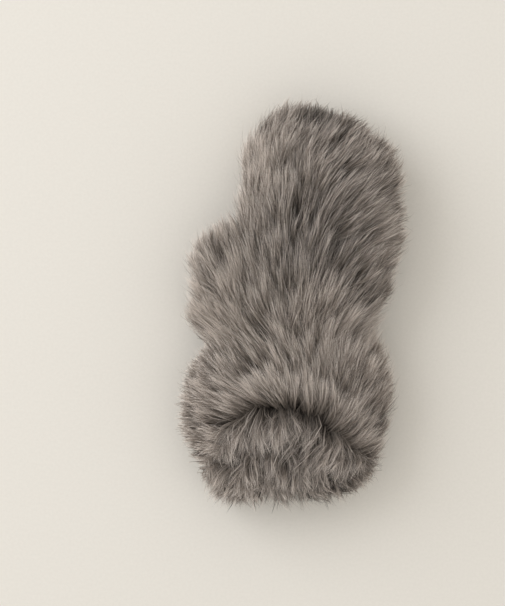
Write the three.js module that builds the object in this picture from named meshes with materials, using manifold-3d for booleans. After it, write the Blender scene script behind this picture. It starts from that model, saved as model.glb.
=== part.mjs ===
// A fur mitten for the right hand, lying on its palm: long-haired pelt with the fur side out.
// Millimetres. +Y runs from the cuff to the fingertips, +X to the little finger, +Z up.
// The origin is on the flat resting face, below the middle of the hand.
import * as THREE from "three";
import { mergeVertices } from "three/addons/utils/BufferGeometryUtils.js";
import Module from "manifold-3d";

// Sizes over the fur
const HAND_LENGTH = 166; // from the wrist to the fingertips
const HAND_WIDTH = 112;
const CUFF_LENGTH = 94; // from the wrist to the hem
const CUFF_WIDTH = 140;
const THICKNESS = 52; // of the hand as it lies
const THUMB_LENGTH = 84; // from its root to its tip
const THUMB_WIDTH = 54; // its root runs on under the hand
const THUMB_THICKNESS = 43;

// The wall: skin, dense underfur, then long hair in locks
const SKIN = 1.5;
const UNDERFUR = 6.5;
const THUMB_UNDERFUR = 4.5;
const HAIR_REACH = 9; // how far the locks stand out beyond the underfur
const PALM_WALL = 6.5; // the wall below the hand, pressed by its weight
const PRESSED = 6; // how much of the underside is pressed flat

// Seams
const SEAM_GAP = 0.3;
const SIDE_SEAM_HEIGHT = 17; // between the back and the palm
const THUMB_SEAM_LEAN = -0.157; // the thumb runs in below the edge of the hand

// Locks of hair
const LOCK_LENGTH = 32;
const LOCK_WIDTH = 19;
const LOCK_SPACING = 18;
const RING_SPACING = 0.86 * LOCK_SPACING; // rings of locks stand closer than the locks in a ring
const LOCK_VARIETY = { heading: 0.16, length: 0.2, width: 0.18, bend: 0.12 };
const HEM_LOCK_HEIGHT = 5; // of the hair under the hem, as it lies on the surface
const HEM_FLAT = 0.75; // the share of the hem that lies flat on the surface
const ROOT_DEPTH = 3;
// A lock's widest place and the width at its root, as shares of its length and width, and how deep
// in the fur its crest lies there, as a share of the hair's reach
const LOCK_FORM = { widest: 0.45, rootWidth: 0.6, crestDepth: 0.6 };
const FLAT_EDGE = 2; // no hair is rooted on the underside below this height
const NAP_BLEND = 7.5; // how softly one heading of the hair turns into the next

const FACETS = 24; // around a section
const OUTLINE_STEPS = 96; // around a section, where locks are spaced out on it
const BODY_ROUND = 2.4; // how square a section is: 2 is an ellipse
const TIP_ROUND = 2.2;
const TIP_STEPS = [0.28, 0.52, 0.72, 0.87, 0.96];
const TIP_END = 0.995; // sections stop just short of the very tip
const TIP_LEAN = 1.5; // how late along a tip its lean sets in

// Places along the mitten
const WRIST_Y = -0.2 * HAND_LENGTH;
const HEM_Y = WRIST_Y - CUFF_LENGTH;
const THUMB_ROOT_Y = WRIST_Y;

// Sections over the fur. down: share of the cuff's length below the wrist. left, right: shares of
// the cuff's width from the axis. top: share of the thickness.
const CUFF_ROWS = [
  { down: 1.0, left: -0.343, right: 0.325, top: 0.8 },
  { down: 0.9, left: -0.386, right: 0.393, top: 0.84 },
  { down: 0.81, left: -0.436, right: 0.429, top: 0.88 },
  { down: 0.72, left: -0.482, right: 0.443, top: 0.91 },
  { down: 0.61, left: -0.514, right: 0.464, top: 0.93 },
  { down: 0.45, left: -0.525, right: 0.479, top: 0.94 },
  { down: 0.27, left: -0.521, right: 0.475, top: 0.92 },
  { down: 0.13, left: -0.468, right: 0.464, top: 0.88 },
];

// up: share of the hand's length above the wrist. left, right: shares of the hand's width.
const HAND_ROWS = [
  { up: 0.0, left: -0.536, right: 0.545, top: 0.85 },
  { up: 0.07, left: -0.509, right: 0.505, top: 0.87 },
  { up: 0.13, left: -0.482, right: 0.495, top: 0.9 },
  { up: 0.19, left: -0.452, right: 0.534, top: 0.94 },
  { up: 0.26, left: -0.429, right: 0.562, top: 0.97 },
  { up: 0.38, left: -0.402, right: 0.583, top: 1.0 },
  { up: 0.51, left: -0.393, right: 0.609, top: 1.0 },
  { up: 0.6, left: -0.388, right: 0.601, top: 0.99 },
  { up: 0.68, left: -0.372, right: 0.589, top: 0.97 },
];
const HAND_TIP_SHIFT = -0.09; // the fingertips lean to the thumb's side, as a share of the width

// The thumb. up: share of its length. left, right: shares of its width from its own middle line.
const THUMB_MIDDLE_X = -0.4 * HAND_WIDTH;
const THUMB_HEEL = 0.03; // where the thumb leaves the wrist, as a share of its length
const THUMB_ROWS = [
  { up: 0.02, left: -0.27, right: 0.5, top: 0.7 },
  { up: 0.1, left: -0.4, right: 0.58, top: 0.86 },
  { up: 0.22, left: -0.46, right: 0.58, top: 0.95 },
  { up: 0.36, left: -0.462, right: 0.5, top: 0.98 },
  { up: 0.48, left: -0.475, right: 0.4, top: 1.0 },
  { up: 0.6, left: -0.515, right: 0.4, top: 0.99 },
];
const THUMB_TIP_SHIFT = 0.13;

// The seam between hand and cuff, seen from above. across: share of the cuff's width from the
// axis. down: share of the cuff's length below the wrist.
const CUFF_SEAM = [
  { across: -0.9, down: 0.87 },
  { across: -0.37, down: 0.83 },
  { across: -0.33, down: 0.72 },
  { across: -0.275, down: 0.48 },
  { across: -0.19, down: 0.4 },
  { across: -0.01, down: 0.38 },
  { across: 0.14, down: 0.44 },
  { across: 0.26, down: 0.56 },
  { across: 0.33, down: 0.67 },
  { across: 0.39, down: 0.745 },
  { across: 0.9, down: 0.77 },
];

// The seam between hand and thumb, at the top of the fur. across: share of the hand's width from
// the axis. up: share of the thumb's length above its root.
const THUMB_SEAM = [
  { across: -0.402, up: 1.02 },
  { across: -0.371, up: 0.83 },
  { across: -0.352, up: 0.66 },
  { across: -0.358, up: 0.48 },
  { across: -0.385, up: 0.29 },
  { across: -0.44, up: 0.1 },
  { across: -0.5, up: -0.04 },
];

// The lie of the hair seen from above. across: share of the hand's width from the axis. up: share
// of the hand's length above the wrist. heading: degrees from +Y towards +X.
const NAP = [
  { across: -0.33, up: 0.84, heading: -12 },
  { across: 0.0, up: 0.9, heading: 2 },
  { across: 0.31, up: 0.87, heading: 24 },
  { across: 0.54, up: 0.75, heading: 44 },
  { across: 0.6, up: 0.51, heading: 66 },
  { across: 0.43, up: 0.5, heading: 46 },
  { across: 0.19, up: 0.6, heading: 26 },
  { across: 0.02, up: 0.4, heading: 2 },
  { across: -0.21, up: 0.38, heading: -12 },
  { across: -0.6, up: 0.4, heading: -34 },
  { across: -0.6, up: 0.1, heading: -56 },
  { across: -0.55, up: -0.02, heading: -95 },
  { across: -0.28, up: 0.1, heading: -26 },
  { across: 0.02, up: 0.02, heading: 0 },
  { across: 0.34, up: 0.2, heading: 32 },
  { across: 0.52, up: 0.05, heading: 42 },
  { across: -0.15, up: -0.16, heading: -48 },
  { across: -0.62, up: -0.2, heading: -82 },
  { across: -0.64, up: -0.4, heading: -104 },
  { across: 0.2, up: -0.2, heading: -12 },
  { across: 0.5, up: -0.2, heading: 32 },
];

// The same on the cuff band, where the hair hangs down to the hem.
const CUFF_NAP = [
  { across: -0.42, up: -0.48, heading: -130 },
  { across: -0.3, up: -0.35, heading: -150 },
  { across: 0.0, up: -0.3, heading: 180 },
  { across: 0.3, up: -0.42, heading: 160 },
  { across: 0.5, up: -0.46, heading: 120 },
];

const wasm = await Module();
wasm.setup();

// Geometry with its shared corners merged, as a solid that can be joined and cut
function solidFrom(geometry) {
  const bare = geometry.clone();
  bare.deleteAttribute("normal");
  bare.deleteAttribute("uv");
  const merged = mergeVertices(bare, 1e-4);
  const mesh = new wasm.Mesh({
    numProp: 3,
    vertProperties: merged.attributes.position.array,
    triVerts: new Uint32Array(merged.index.array),
  });
  return new wasm.Manifold(mesh);
}

function geometryFrom(solid) {
  const mesh = solid.getMesh();
  const geometry = new THREE.BufferGeometry();
  geometry.setAttribute("position", new THREE.BufferAttribute(mesh.vertProperties, 3));
  geometry.setIndex(new THREE.BufferAttribute(mesh.triVerts, 1));
  return geometry;
}

// A closed skin through rings of equal count, with a fan to a point at each end
function loftSolid(rings, firstEnd, lastEnd) {
  const around = rings[0].length;
  const points = [firstEnd, ...rings.flat(), lastEnd];
  const last = points.length - 1;
  const corner = (ring, step) => 1 + ring * around + (step % around);
  const faces = [];
  for (let step = 0; step < around; step++) {
    faces.push(0, corner(0, step), corner(0, step + 1));
    for (let ring = 0; ring + 1 < rings.length; ring++) {
      const [a, b] = [corner(ring, step), corner(ring, step + 1)];
      const [c, d] = [corner(ring + 1, step), corner(ring + 1, step + 1)];
      faces.push(a, c, b, b, c, d);
    }
    faces.push(corner(rings.length - 1, step + 1), corner(rings.length - 1, step), last);
  }
  const geometry = new THREE.BufferGeometry().setFromPoints(points).setIndex(faces);
  return solidFrom(geometry);
}

// An upright block over an outline seen from above
function blockOver(outline, lean = 0) {
  const shape = new THREE.Shape(outline.map(([x, y]) => new THREE.Vector2(x, y)));
  const depth = 2 * THICKNESS;
  const geometry = new THREE.ExtrudeGeometry(shape, { depth, bevelEnabled: false });
  geometry.translate(0, 0, -0.1 * depth);
  geometry.applyMatrix4(new THREE.Matrix4().makeShear(0, 0, 0, 0, lean, 0));
  return solidFrom(geometry);
}

// Forms of the mitten, as rows of real sizes over the fur

function bodyRows() {
  const cuff = CUFF_ROWS.map((row) => ({
    y: WRIST_Y - row.down * CUFF_LENGTH,
    left: row.left * CUFF_WIDTH,
    right: row.right * CUFF_WIDTH,
    top: row.top * THICKNESS,
  }));
  const hand = HAND_ROWS.map((row) => ({
    y: WRIST_Y + row.up * HAND_LENGTH,
    left: row.left * HAND_WIDTH,
    right: row.right * HAND_WIDTH,
    top: row.top * THICKNESS,
  }));
  return [...cuff, ...hand];
}

function thumbRows() {
  return THUMB_ROWS.map((row) => ({
    y: THUMB_ROOT_Y + row.up * THUMB_LENGTH,
    left: THUMB_MIDDLE_X + row.left * THUMB_WIDTH,
    right: THUMB_MIDDLE_X + row.right * THUMB_WIDTH,
    top: row.top * THUMB_THICKNESS,
  }));
}

const BODY = {
  rows: bodyRows(),
  tipY: WRIST_Y + HAND_LENGTH,
  tipShift: HAND_TIP_SHIFT * HAND_WIDTH,
};
const THUMB = {
  rows: thumbRows(),
  tipY: THUMB_ROOT_Y + THUMB_LENGTH,
  tipShift: THUMB_TIP_SHIFT * THUMB_WIDTH,
};

// The section of a form at y, a depth inside the fur. Past the last row it rounds off to the tip.
function sectionAt(form, y, depth, bottom) {
  const { rows } = form;
  const last = rows[rows.length - 1];
  let row = rows[0];
  let closing = 1;
  let shift = 0;
  if (y >= last.y) {
    const share = Math.min((y - last.y) / (form.tipY - depth - last.y), TIP_END);
    row = last;
    closing = (1 - share ** TIP_ROUND) ** (1 / TIP_ROUND);
    shift = form.tipShift * share ** TIP_LEAN;
  } else if (y > rows[0].y) {
    const next = rows.findIndex((candidate) => candidate.y > y);
    const [low, high] = [rows[next - 1], rows[next]];
    const share = (y - low.y) / (high.y - low.y);
    const mix = (name) => low[name] + share * (high[name] - low[name]);
    row = { left: mix("left"), right: mix("right"), top: mix("top") };
  }
  const top = row.top - depth;
  const flat = Math.max(bottom, 0);
  const centre = (top + bottom) / 2;
  return {
    y,
    middle: (row.left + row.right) / 2 + shift,
    centre,
    halfWidth: closing * ((row.right - row.left) / 2 - depth),
    halfHeight: closing * (top - centre),
    flat,
  };
}

function pointOn(section, turn) {
  const across = Math.cos(turn);
  const up = Math.sin(turn);
  const power = 2 / BODY_ROUND;
  const x = section.middle + section.halfWidth * Math.sign(across) * Math.abs(across) ** power;
  const z = section.centre + section.halfHeight * Math.sign(up) * Math.abs(up) ** power;
  return new THREE.Vector3(x, section.y, Math.max(z, section.flat));
}

// Moves a point straight towards or away from the middle of a form until it lies at a depth
// inside the fur. Past the last row the middle is that row's own, so that a tip closes evenly.
function settleAt(form, point, depth) {
  const last = form.rows[form.rows.length - 1];
  const section = sectionAt(form, Math.min(point.y, last.y), depth, -PRESSED);
  const leanAt = (share) => form.tipShift * Math.max(share, 0) ** TIP_LEAN;
  const beyond = Math.max(point.y - last.y, 0) / (form.tipY - depth - last.y);
  const aside = point.x - section.middle - leanAt(beyond);
  const above = point.z - section.centre;
  const square = (value) => Math.abs(value) ** BODY_ROUND;
  const squared = square(aside / section.halfWidth) + square(above / section.halfHeight);
  const girth = squared ** (1 / BODY_ROUND);
  const scale = (girth ** TIP_ROUND + beyond ** TIP_ROUND) ** (-1 / TIP_ROUND);
  const share = beyond * scale;
  return new THREE.Vector3(
    section.middle + leanAt(share) + aside * scale,
    beyond > 0 ? last.y + (point.y - last.y) * scale : point.y,
    section.centre + above * scale,
  );
}

// The solid inside a form at a depth below the fur, from a first y to its tip
function innerForm(form, depth, bottom, firstY) {
  const last = form.rows[form.rows.length - 1];
  const straight = form.rows.map((row) => row.y).filter((y) => y > firstY + 1);
  const rounding = TIP_STEPS.map((step) => last.y + step * (form.tipY - depth - last.y));
  const rings = [firstY, ...straight, ...rounding].map((y) => {
    const section = sectionAt(form, y, depth, bottom);
    return Array.from({ length: FACETS }, (_, step) =>
      pointOn(section, (2 * Math.PI * step) / FACETS),
    );
  });
  const first = sectionAt(form, firstY, depth, bottom);
  const end = sectionAt(form, form.tipY - depth, depth, bottom);
  return loftSolid(
    rings,
    new THREE.Vector3(first.middle, firstY, Math.max(first.centre, 0)),
    new THREE.Vector3(end.middle, form.tipY - depth, end.centre),
  );
}

// The lie of the hair at a place, from the rows of a table that are nearest
function headingAt(table, point) {
  let sine = 0;
  let cosine = 0;
  for (const row of table) {
    const dx = point.x - row.across * HAND_WIDTH;
    const dy = point.y - (WRIST_Y + row.up * HAND_LENGTH);
    const weight = 1 / (dx * dx + dy * dy + NAP_BLEND * NAP_BLEND) ** 2;
    const angle = THREE.MathUtils.degToRad(row.heading);
    sine += weight * Math.sin(angle);
    cosine += weight * Math.cos(angle);
  }
  return Math.atan2(sine, cosine);
}

// The same small variations each time
function seededRandom(seed) {
  let state = seed;
  return () => {
    state = (state * 1664525 + 1013904223) % 4294967296;
    return state / 4294967296;
  };
}

// One lock: three-sided, rooted below the underfur, widest near its middle, pointed at its tip
function lockSolid(form, root, heading, length, width, bend) {
  const ahead = new THREE.Vector3(Math.sin(heading), Math.cos(heading), 0);
  const at = (distance, depth) => {
    const point = root.clone().addScaledVector(ahead, distance);
    point.y = Math.max(point.y, HEM_Y);
    return settleAt(form, point, depth);
  };
  const tip = at(length, 0);
  const crest = at(LOCK_FORM.widest * length, LOCK_FORM.crestDepth * HAIR_REACH);
  const belly = at(LOCK_FORM.widest * length, HAIR_REACH + 0.5 * ROOT_DEPTH);
  const out = crest.clone().sub(belly).normalize();
  const side = tip.clone().sub(root).cross(out).normalize();
  tip.addScaledVector(side, bend);
  const back = root.clone().addScaledVector(out, -ROOT_DEPTH);
  const rootHalf = 0.5 * LOCK_FORM.rootWidth * width;
  const points = [
    back.clone().addScaledVector(side, -rootHalf),
    back.clone().addScaledVector(side, rootHalf),
    root.clone().addScaledVector(out, 0.1 * ROOT_DEPTH),
    belly.clone().addScaledVector(side, -0.5 * width),
    belly.clone().addScaledVector(side, 0.5 * width),
    crest,
    tip,
  ];
  const foot = [0, 1, 2];
  const sides = [0, 3, 4, 0, 4, 1, 1, 4, 5, 1, 5, 2, 2, 5, 3, 2, 3, 0];
  const point = [4, 6, 5, 5, 6, 3, 3, 6, 4];
  points.forEach((corner) => corner.setZ(Math.max(corner.z, 0)));
  const geometry = new THREE.BufferGeometry().setFromPoints(points);
  geometry.setIndex([...foot, ...sides, ...point]);
  return solidFrom(geometry);
}

// Hair under the hem, pressed flat on the surface
function hemLock(x, width, bend) {
  const rootY = HEM_Y + HAIR_REACH + ROOT_DEPTH;
  const points = [
    new THREE.Vector3(x - 0.5 * width, rootY, 0),
    new THREE.Vector3(x + 0.5 * width, rootY, 0),
    new THREE.Vector3(x, rootY, HEM_LOCK_HEIGHT),
    new THREE.Vector3(x + bend, HEM_Y, 0.1 * HEM_LOCK_HEIGHT),
  ];
  const geometry = new THREE.BufferGeometry().setFromPoints(points);
  geometry.setIndex([0, 2, 1, 0, 1, 3, 1, 2, 3, 0, 3, 2]);
  return solidFrom(geometry);
}

// Roots of the locks over a form: rings of even spacing, each set off from the last by half a step
function rootPlaces(form, firstY) {
  const places = [];
  const lastY = form.tipY - HAIR_REACH - 0.3 * LOCK_SPACING;
  const count = Math.round((lastY - firstY) / RING_SPACING);
  for (let ring = 0; ring <= count; ring++) {
    const y = firstY + ((lastY - firstY) * ring) / count;
    const section = sectionAt(form, y, HAIR_REACH, -PRESSED);
    const outline = Array.from({ length: OUTLINE_STEPS + 1 }, (_, step) =>
      pointOn(section, (2 * Math.PI * step) / OUTLINE_STEPS - Math.PI / 2),
    );
    const path = new THREE.CatmullRomCurve3(outline, false, "centripetal");
    const number = Math.max(Math.round(path.getLength() / LOCK_SPACING), 5);
    for (let step = 0; step < number; step++) {
      const share = (step + (ring % 2 ? 0.5 : 0)) / number;
      places.push(path.getPointAt(share));
    }
  }
  return places.filter((place) => place.z > FLAT_EDGE);
}

// Locks over a form, each with its own small variation
function locksOver(form, places, headingOf, random) {
  const either = (amount) => amount * (2 * random() - 1);
  return places.map((place) => {
    const heading = headingOf(place) + either(LOCK_VARIETY.heading);
    const length = LOCK_LENGTH * (1 + either(LOCK_VARIETY.length));
    const width = LOCK_WIDTH * (1 + either(LOCK_VARIETY.width));
    const bend = LOCK_LENGTH * either(LOCK_VARIETY.bend);
    return { place, solid: lockSolid(form, place, heading, length, width, bend) };
  });
}

// Seams, as blocks that keep one side of them

function seamHeightAt(x) {
  const across = x / CUFF_WIDTH;
  const next = CUFF_SEAM.findIndex((point) => point.across > across);
  const [low, high] = [CUFF_SEAM[next - 1], CUFF_SEAM[next]];
  const share = (across - low.across) / (high.across - low.across);
  return WRIST_Y - CUFF_LENGTH * (low.down + share * (high.down - low.down));
}

function cuffSideBlock(isHand) {
  const sign = isHand ? 1 : -1;
  const seam = CUFF_SEAM.map(({ across, down }) => [
    across * CUFF_WIDTH,
    WRIST_Y - down * CUFF_LENGTH + 0.5 * sign * SEAM_GAP,
  ]);
  const farY = isHand ? WRIST_Y + 1.5 * HAND_LENGTH : HEM_Y - HAND_LENGTH;
  const [first, last] = [seam[0], seam[seam.length - 1]];
  return blockOver([...seam, [last[0], farY], [first[0], farY]]);
}

function thumbBlock(margin) {
  const seam = THUMB_SEAM.map(({ across, up }) => [
    across * HAND_WIDTH - THUMB_SEAM_LEAN * THUMB_THICKNESS - margin,
    THUMB_ROOT_Y + up * THUMB_LENGTH,
  ]);
  const [top, root] = [seam[0], seam[seam.length - 1]];
  top[1] -= margin;
  root[1] += margin;
  const farX = -HAND_WIDTH;
  const outline = [...seam, [farX, root[1]], [farX, top[1]]];
  return blockOver(outline, THUMB_SEAM_LEAN);
}

// The largest body of a solid: hair cut off from its root by a seam falls away
function rootedPart(solid) {
  const bodies = solid.decompose();
  return bodies.reduce((most, body) => (body.volume() > most.volume() ? body : most));
}

function joined(solids) {
  return wasm.Manifold.union(solids);
}

// The whole form, before it is divided at the seams
const bodyDepth = HAIR_REACH + UNDERFUR + SKIN;
const thumbDepth = HAIR_REACH + THUMB_UNDERFUR + SKIN;
const thumbHeelY = THUMB_ROOT_Y + THUMB_HEEL * THUMB_LENGTH;
const peltHemY = HEM_Y + HAIR_REACH;
const bodyCore = innerForm(BODY, HAIR_REACH, -PRESSED, peltHemY);
const bodyHollow = innerForm(BODY, bodyDepth, PALM_WALL, HEM_Y);
const thumbCore = innerForm(THUMB, HAIR_REACH, -PRESSED, thumbHeelY);
const thumbHollow = innerForm(THUMB, thumbDepth, PALM_WALL, thumbHeelY + thumbDepth - HAIR_REACH);

const random = seededRandom(7);
const onCuff = (place) => place.y < seamHeightAt(place.x);
const bodyHeading = (place) => headingAt(onCuff(place) ? CUFF_NAP : NAP, place);
const bodyPlaces = rootPlaces(BODY, peltHemY + 0.3 * LOCK_SPACING);
const bodyLocks = locksOver(BODY, bodyPlaces, bodyHeading, random);
const thumbPlaces = rootPlaces(THUMB, thumbHeelY + 0.3 * LOCK_SPACING);
const thumbLocks = locksOver(THUMB, thumbPlaces, (place) => headingAt(NAP, place), random);

const handSide = cuffSideBlock(true);
const cuffSide = cuffSideBlock(false);
const thumbSide = thumbBlock(SEAM_GAP);
const besideThumb = thumbBlock(0);
const up = [0, 0, 1];
const down = [0, 0, -1];
const backBottom = SIDE_SEAM_HEIGHT + 0.5 * SEAM_GAP;
const palmTop = SIDE_SEAM_HEIGHT - 0.5 * SEAM_GAP;

function hemLocks() {
  const hem = sectionAt(BODY, peltHemY, HAIR_REACH, -PRESSED);
  const span = 2 * HEM_FLAT * hem.halfWidth;
  const number = Math.round(span / (0.7 * LOCK_SPACING));
  return Array.from({ length: number }, (_, step) => {
    const x = hem.middle + span * ((step + 0.5) / number - 0.5);
    const bend = 0.2 * LOCK_SPACING * (2 * random() - 1);
    return hemLock(x, LOCK_WIDTH, bend);
  });
}

function locksWhere(locks, test) {
  return locks.filter(({ place }) => test(place)).map(({ solid }) => solid);
}

function handPanel(panelTest, trim) {
  const core = trim(bodyCore.intersect(handSide));
  const hair = locksWhere(bodyLocks, (place) => !onCuff(place) && panelTest(place));
  const whole = trim(joined([core, ...hair]).intersect(handSide));
  return rootedPart(whole.subtract(bodyHollow).subtract(besideThumb).subtract(thumbHollow));
}

function makeHandBack() {
  return handPanel(
    (place) => place.z > SIDE_SEAM_HEIGHT,
    (solid) => solid.trimByPlane(up, backBottom),
  );
}

function makeHandPalm() {
  return handPanel(
    (place) => place.z <= SIDE_SEAM_HEIGHT,
    (solid) => solid.trimByPlane(up, 0).trimByPlane(down, -palmTop),
  );
}

function makeCuff() {
  const hair = [...locksWhere(bodyLocks, onCuff), ...hemLocks()];
  const whole = joined([bodyCore.intersect(cuffSide), ...hair]).intersect(cuffSide);
  return rootedPart(whole.subtract(bodyHollow).trimByPlane(up, 0));
}

function makeThumb() {
  const hair = locksWhere(thumbLocks, () => true);
  const whole = joined([thumbCore, ...hair]).intersect(thumbSide);
  return rootedPart(whole.subtract(thumbHollow).subtract(bodyHollow).trimByPlane(up, 0));
}

const FUR = { roughness: 0.95, metalness: 0 };

function furMesh(name, solid, color) {
  const material = new THREE.MeshStandardMaterial({ color, ...FUR });
  const mesh = new THREE.Mesh(geometryFrom(solid), material);
  mesh.name = name;
  return mesh;
}

const mitten = new THREE.Group();
mitten.add(furMesh("hand_back", makeHandBack(), 0x746c64));
mitten.add(furMesh("hand_palm", makeHandPalm(), 0x6f665e));
mitten.add(furMesh("thumb", makeThumb(), 0x7f766d));
mitten.add(furMesh("cuff", makeCuff(), 0x655d56));

export default mitten;
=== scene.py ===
"""The looks of a long-haired fur mitten that lies on its palm, seen from straight above.

Metres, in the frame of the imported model: +Y to the fingertips, +X to the little finger, +Z up.
The pelts are modelled as hollow shells. The hair is many thin strands, drawn together in locks
and tufts, which grow out of the pelts along the lie of the fur.
"""
import math

import bpy
import numpy as np
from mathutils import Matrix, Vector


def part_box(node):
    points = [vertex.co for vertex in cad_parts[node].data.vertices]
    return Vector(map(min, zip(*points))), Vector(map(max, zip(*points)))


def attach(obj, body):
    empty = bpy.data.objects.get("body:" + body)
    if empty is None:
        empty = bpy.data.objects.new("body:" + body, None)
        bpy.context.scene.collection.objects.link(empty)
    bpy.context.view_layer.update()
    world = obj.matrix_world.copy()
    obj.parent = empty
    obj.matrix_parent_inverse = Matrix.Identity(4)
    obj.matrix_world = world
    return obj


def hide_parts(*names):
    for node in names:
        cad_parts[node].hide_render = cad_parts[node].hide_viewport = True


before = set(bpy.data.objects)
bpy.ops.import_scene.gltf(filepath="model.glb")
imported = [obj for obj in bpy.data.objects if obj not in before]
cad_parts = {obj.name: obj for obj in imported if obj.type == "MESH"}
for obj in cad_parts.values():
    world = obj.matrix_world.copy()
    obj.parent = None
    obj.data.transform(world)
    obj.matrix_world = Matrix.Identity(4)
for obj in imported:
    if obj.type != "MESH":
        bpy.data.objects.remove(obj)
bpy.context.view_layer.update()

# Sizes from the frame
back_low, back_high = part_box("hand_back")
palm_low, palm_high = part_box("hand_palm")
thumb_low, thumb_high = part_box("thumb")
WIDTH = 0.1410  # of the flared cuff, over the hair
HEIGHT = back_high[2]
TIP_Y = back_high[1]
LENGTH = 0.2590  # from the hem to the fingertips, over the hair
HEM_Y = TIP_Y - LENGTH
THUMB_LENGTH = thumb_high[1] - thumb_low[1]
SIDE_SEAM_Z = (back_low[2] + palm_high[2]) / 2

# Depths below the tips of the hair
PELT_DEPTH = 0.0105
ROOT_DEPTH = 0.0125
INSIDE_DEPTH = 0.0155
THUMB_INSIDE_DEPTH = 0.0135
PRESSED = 0.006  # how far the round form would reach below the surface that it lies on
PELT_FLOOR = 0.0022  # the height at which the pelts are cut flat below
HOLLOW_FLOOR = 0.0065  # and their hollow

# The forms. ROUND and TIP_ROUND say how square sections and tips are: at 2 they would be ellipses.
ROUND = 2.4
TIP_ROUND = 2.2
LEAN_POWER = 1.5
LEAN_LIMIT = 1.5  # the lean grows no more past this share of the way to the tip
LEAST_SPAN = 0.02
SLOPE_STEP = 0.0005

# The pelts, and the blocks that part them at their seams
RING_CORNERS = 64
TIP_RINGS = 9
LAST_RING = 0.996  # share of the way to the tip
ROW_GAP = 0.002
PELT_HEM = 0.009
HOLLOW_OVER = 0.020
THUMB_HOLLOW_START = 0.008
BLOCK_LOW = -0.01
BLOCK_HIGH = 0.08
CUFF_BLOCK_OVER = 0.05
THUMB_BLOCK_OVER = 0.03
INNER_SHARE = 0.995
INNER_LIFT = 0.001

# Sections over the hair. along: share of the length from the hem. left and right: shares of
# the width from the axis. top: share of the height.
BODY_ROWS = [
    {"along": 0.000, "left": -0.326, "right": 0.318, "top": 0.78},
    {"along": 0.020, "left": -0.362, "right": 0.350, "top": 0.80},
    {"along": 0.045, "left": -0.385, "right": 0.392, "top": 0.83},
    {"along": 0.070, "left": -0.430, "right": 0.425, "top": 0.87},
    {"along": 0.105, "left": -0.482, "right": 0.440, "top": 0.90},
    {"along": 0.145, "left": -0.512, "right": 0.460, "top": 0.92},
    {"along": 0.195, "left": -0.522, "right": 0.473, "top": 0.93},
    {"along": 0.240, "left": -0.525, "right": 0.472, "top": 0.93},
    {"along": 0.280, "left": -0.511, "right": 0.467, "top": 0.92},
    {"along": 0.318, "left": -0.472, "right": 0.461, "top": 0.89},
    {"along": 0.348, "left": -0.436, "right": 0.452, "top": 0.87},
    {"along": 0.375, "left": -0.420, "right": 0.436, "top": 0.87},
    {"along": 0.403, "left": -0.405, "right": 0.402, "top": 0.88},
    {"along": 0.438, "left": -0.384, "right": 0.393, "top": 0.90},
    {"along": 0.484, "left": -0.356, "right": 0.425, "top": 0.94},
    {"along": 0.525, "left": -0.340, "right": 0.448, "top": 0.97},
    {"along": 0.567, "left": -0.326, "right": 0.454, "top": 0.99},
    {"along": 0.605, "left": -0.320, "right": 0.462, "top": 1.00},
    {"along": 0.643, "left": -0.316, "right": 0.480, "top": 1.00},
    {"along": 0.682, "left": -0.312, "right": 0.485, "top": 1.00},
    {"along": 0.745, "left": -0.309, "right": 0.478, "top": 0.99},
    {"along": 0.797, "left": -0.296, "right": 0.468, "top": 0.97},
]
BODY_TIP_LEAN = -0.075  # share of the width by which the fingertips lean to the thumb's side

# The thumb's sections. along: share of its length from its heel.
THUMB_ROWS = [
    {"along": 0.00, "left": -0.415, "right": -0.126, "top": 0.60},
    {"along": 0.08, "left": -0.471, "right": -0.096, "top": 0.71},
    {"along": 0.20, "left": -0.493, "right": -0.096, "top": 0.79},
    {"along": 0.34, "left": -0.490, "right": -0.126, "top": 0.81},
    {"along": 0.46, "left": -0.502, "right": -0.165, "top": 0.82},
    {"along": 0.58, "left": -0.515, "right": -0.165, "top": 0.82},
]
THUMB_TIP_LEAN = 0.05

# The seam between hand and cuff, from above. across: share of the width from the axis.
# along: share of the length from the hem.
CUFF_SEAM = [
    {"across": -0.70, "along": 0.044},
    {"across": -0.37, "along": 0.060},
    {"across": -0.33, "along": 0.095},
    {"across": -0.275, "along": 0.186},
    {"across": -0.19, "along": 0.216},
    {"across": -0.01, "along": 0.223},
    {"across": 0.14, "along": 0.202},
    {"across": 0.26, "along": 0.158},
    {"across": 0.33, "along": 0.118},
    {"across": 0.39, "along": 0.089},
    {"across": 0.70, "along": 0.080},
]
# The seam between hand and thumb, from above, at the top of the thumb.
THUMB_SEAM = [
    {"across": -0.400, "along": 0.345},
    {"across": -0.350, "along": 0.395},
    {"across": -0.306, "along": 0.455},
    {"across": -0.285, "along": 0.517},
    {"across": -0.280, "along": 0.575},
    {"across": -0.295, "along": 0.630},
    {"across": -0.320, "along": 0.690},
]
THUMB_SEAM_LEAN = 0.157  # how far the seam goes in under the hand for each metre down
THUMB_TOP = 0.82 * HEIGHT

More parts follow.
